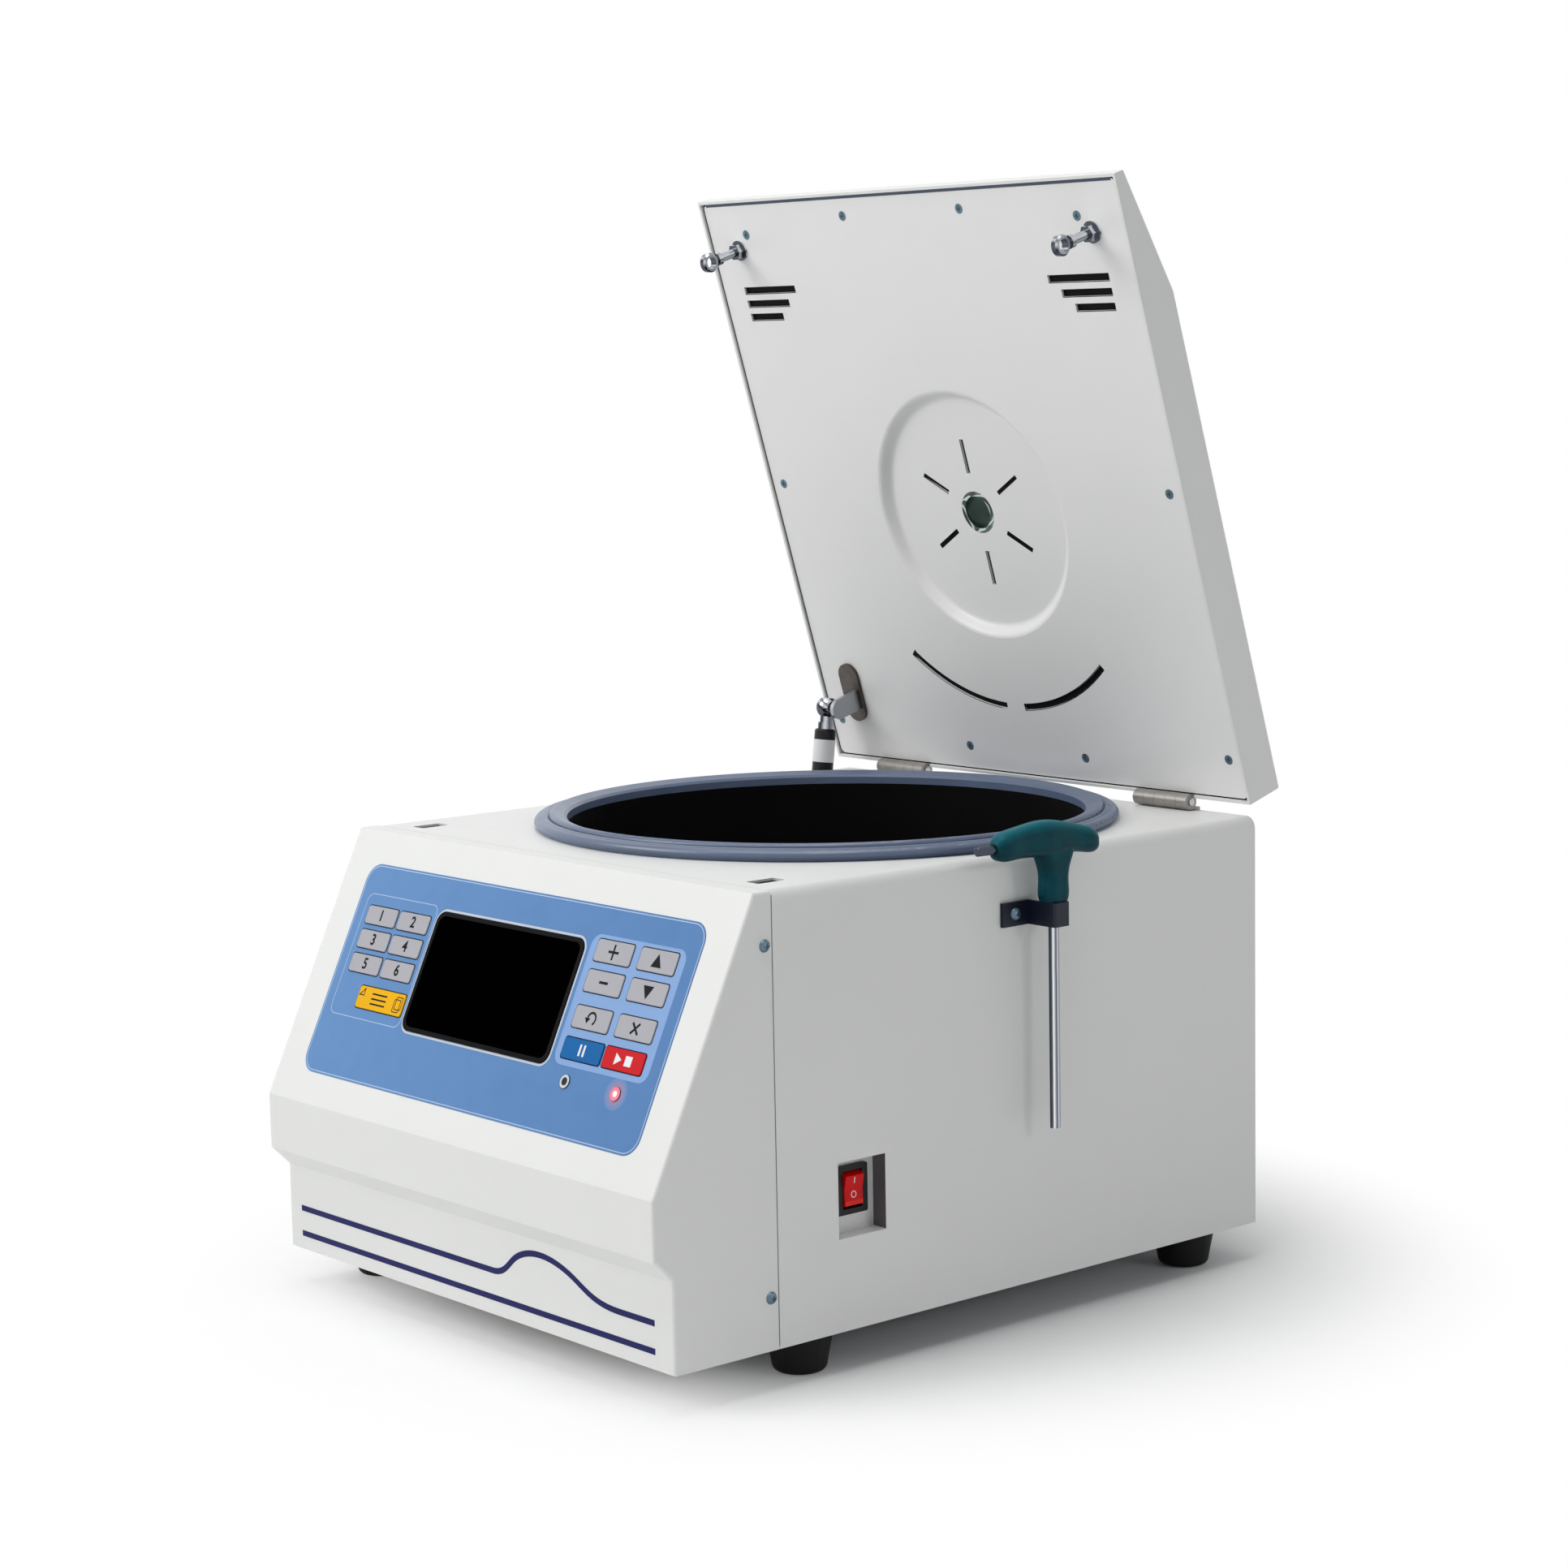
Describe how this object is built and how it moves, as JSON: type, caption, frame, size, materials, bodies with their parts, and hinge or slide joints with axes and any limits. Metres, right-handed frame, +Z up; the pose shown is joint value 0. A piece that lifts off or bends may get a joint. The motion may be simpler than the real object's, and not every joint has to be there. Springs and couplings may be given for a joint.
{
  "type": "high-speed centrifuge",
  "caption": "Bench centrifuge with a raised lid on a gas strut, round chamber with fixed-angle rotor, sloping key panel with screen, side switch and clipped hex key.",
  "frame": {"origin": "point on the rotor's spin axis at the bench plane, under the feet", "axes": "+Z up, front with the key panel towards -Y, side with the switch and the hex key towards +X"},
  "size_m": [0.4489, 0.5495, 0.7358],
  "materials": {
    "casing_paint": "satin",
    "rear_paint": "satin",
    "liner_paint": "satin",
    "black_rubber": "matt",
    "gasket_rubber": "satin",
    "steel": "brushed",
    "dark_screws": "satin",
    "trim_navy": "matt",
    "panel_blue": "satin",
    "black_gloss": "gloss",
    "screen_glass": "gloss",
    "board_green": "matt",
    "lamp_lens": "gloss",
    "motor_black": "satin",
    "aluminium": "satin",
    "chrome": "polished",
    "clear": "gloss",
    "hinge_metal": "satin",
    "strut_black": "satin",
    "black_plastic": "matt",
    "rocker_red": "gloss",
    "bracket_black": "satin",
    "handle_teal": "satin",
    "tool_steel": "satin",
    "key_grey": "satin",
    "key_yellow": "satin",
    "key_blue": "satin",
    "key_red": "satin"
  },
  "bodies": {
    "housing": {"outer_housing": "casing_paint", "front_fascia": "casing_paint", "rear_panel": "rear_paint", "rubber_feet": "black_rubber", "vibration_mounts": "black_rubber", "chamber_gasket": "gasket_rubber", "base_plate": "steel", "chamber_bowl": "steel", "guard_ring": "steel", "motor_plate": "steel", "hinge_pins": "steel", "latch_units": "steel", "strut_base_bracket": "steel", "body_screws": "dark_screws", "groove_trims": "trim_navy", "membrane_panel": "panel_blue", "display_bezel": "black_gloss", "display_window": "screen_glass", "control_board": "board_green", "indicator_lenses": "lamp_lens", "drive_motor": "motor_black", "hinge_body_leaves": "hinge_metal", "mains_inlet": "black_plastic", "fan_frame": "black_plastic", "switch_bezel": "black_plastic", "tool_bracket": "bracket_black"},
    "lid": {"lid_shell": "casing_paint", "lid_inner_plate": "liner_paint", "lid_screws": "steel", "viewport_window": "clear", "strikers": "chrome", "hinge_lid_leaves": "hinge_metal", "strut_lid_bracket": "chrome"},
    "strut_cylinder": {"strut_cylinder": "strut_black", "strut_socket": "chrome"},
    "strut_rod": {"strut_rod": "chrome"},
    "rotor": {"drive_spindle": "steel", "rotor": "aluminium", "rotor_screw": "chrome"},
    "latch_bolt_right": {"latch_bolt_right": "steel"},
    "latch_bolt_left": {"latch_bolt_left": "steel"},
    "fan": {"fan_impeller": "black_plastic"},
    "rocker": {"power_rocker": "rocker_red"},
    "hex_key": {"hex_key_handle": "handle_teal", "hex_key_shaft": "tool_steel"},
    "key_preset_1": {"key_preset_1": "key_grey"},
    "key_preset_2": {"key_preset_2": "key_grey"},
    "key_preset_3": {"key_preset_3": "key_grey"},
    "key_preset_4": {"key_preset_4": "key_grey"},
    "key_preset_5": {"key_preset_5": "key_grey"},
    "key_preset_6": {"key_preset_6": "key_grey"},
    "key_menu": {"key_menu": "key_yellow"},
    "key_plus": {"key_plus": "key_grey"},
    "key_up": {"key_up": "key_grey"},
    "key_minus": {"key_minus": "key_grey"},
    "key_down": {"key_down": "key_grey"},
    "key_recall": {"key_recall": "key_yellow"},
    "key_clear": {"key_clear": "key_yellow"},
    "key_standby": {"key_standby": "key_blue"},
    "key_run_stop": {"key_run_stop": "key_red"}
  },
  "joints": [
    {"name": "lid_hinge", "type": "hinge", "parent": "housing", "child": "lid", "pos_m": [0, 0.1945, 0.313], "axis": [1, 0, 0], "range_deg": [0, 73]},
    {"name": "strut_pivot", "type": "hinge", "parent": "lid", "child": "strut_cylinder", "pos_m": [-0.184, 0.1631, 0.3575], "axis": [1, 0, 0], "range_deg": [-65.7, 0]},
    {"name": "strut_slide", "type": "slide", "parent": "strut_cylinder", "child": "strut_rod", "axis": [0, 0.1218, 0.9926], "range_m": [0, 0.0604]},
    {"name": "rotor_spin", "type": "hinge", "parent": "housing", "child": "rotor", "pos_m": [0, 0, 0.19], "axis": [0, 0, 1], "continuous": true},
    {"name": "latch_right", "type": "slide", "parent": "housing", "child": "latch_bolt_right", "axis": [1, 0, 0], "range_m": [0, 0.012]},
    {"name": "latch_left", "type": "slide", "parent": "housing", "child": "latch_bolt_left", "axis": [-1, 0, 0], "range_m": [0, 0.012]},
    {"name": "fan_spin", "type": "hinge", "parent": "housing", "child": "fan", "pos_m": [0.11, 0.19, 0.09675], "axis": [0, 1, 0], "continuous": true},
    {"name": "rocker_tip", "type": "hinge", "parent": "housing", "child": "rocker", "pos_m": [0.1984, -0.159, 0.1115], "axis": [0, 1, 0], "range_deg": [-7, 0]},
    {"name": "hex_key_lift", "type": "slide", "parent": "housing", "child": "hex_key", "axis": [0, 0, 1], "range_m": [0, 0.16]},
    {"name": "key_preset_1_press", "type": "slide", "parent": "housing", "child": "key_preset_1", "axis": [0, 0.905, -0.4253], "range_m": [0, 0.0007], "stiffness_N_per_m": 800},
    {"name": "key_preset_2_press", "type": "slide", "parent": "housing", "child": "key_preset_2", "axis": [0, 0.905, -0.4253], "range_m": [0, 0.0007], "stiffness_N_per_m": 800},
    {"name": "key_preset_3_press", "type": "slide", "parent": "housing", "child": "key_preset_3", "axis": [0, 0.905, -0.4253], "range_m": [0, 0.0007], "stiffness_N_per_m": 800},
    {"name": "key_preset_4_press", "type": "slide", "parent": "housing", "child": "key_preset_4", "axis": [0, 0.905, -0.4253], "range_m": [0, 0.0007], "stiffness_N_per_m": 800},
    {"name": "key_preset_5_press", "type": "slide", "parent": "housing", "child": "key_preset_5", "axis": [0, 0.905, -0.4253], "range_m": [0, 0.0007], "stiffness_N_per_m": 800},
    {"name": "key_preset_6_press", "type": "slide", "parent": "housing", "child": "key_preset_6", "axis": [0, 0.905, -0.4253], "range_m": [0, 0.0007], "stiffness_N_per_m": 800},
    {"name": "key_menu_press", "type": "slide", "parent": "housing", "child": "key_menu", "axis": [0, 0.905, -0.4253], "range_m": [0, 0.0007], "stiffness_N_per_m": 800},
    {"name": "key_plus_press", "type": "slide", "parent": "housing", "child": "key_plus", "axis": [0, 0.905, -0.4253], "range_m": [0, 0.0007], "stiffness_N_per_m": 800},
    {"name": "key_up_press", "type": "slide", "parent": "housing", "child": "key_up", "axis": [0, 0.905, -0.4253], "range_m": [0, 0.0007], "stiffness_N_per_m": 800},
    {"name": "key_minus_press", "type": "slide", "parent": "housing", "child": "key_minus", "axis": [0, 0.905, -0.4253], "range_m": [0, 0.0007], "stiffness_N_per_m": 800},
    {"name": "key_down_press", "type": "slide", "parent": "housing", "child": "key_down", "axis": [0, 0.905, -0.4253], "range_m": [0, 0.0007], "stiffness_N_per_m": 800},
    {"name": "key_recall_press", "type": "slide", "parent": "housing", "child": "key_recall", "axis": [0, 0.905, -0.4253], "range_m": [0, 0.0007], "stiffness_N_per_m": 800},
    {"name": "key_clear_press", "type": "slide", "parent": "housing", "child": "key_clear", "axis": [0, 0.905, -0.4253], "range_m": [0, 0.0007], "stiffness_N_per_m": 800},
    {"name": "key_standby_press", "type": "slide", "parent": "housing", "child": "key_standby", "axis": [0, 0.905, -0.4253], "range_m": [0, 0.0007], "stiffness_N_per_m": 800},
    {"name": "key_run_stop_press", "type": "slide", "parent": "housing", "child": "key_run_stop", "axis": [0, 0.905, -0.4253], "range_m": [0, 0.0007], "stiffness_N_per_m": 800}
  ],
  "couplings": [
    {"joint": "strut_pivot", "follows": "lid_hinge", "ratio": -0.8983},
    {"joint": "strut_slide", "follows": "lid_hinge", "m_per_rad": 0.04733},
    {"joint": "latch_left", "follows": "latch_right", "ratio": 1}
  ]
}
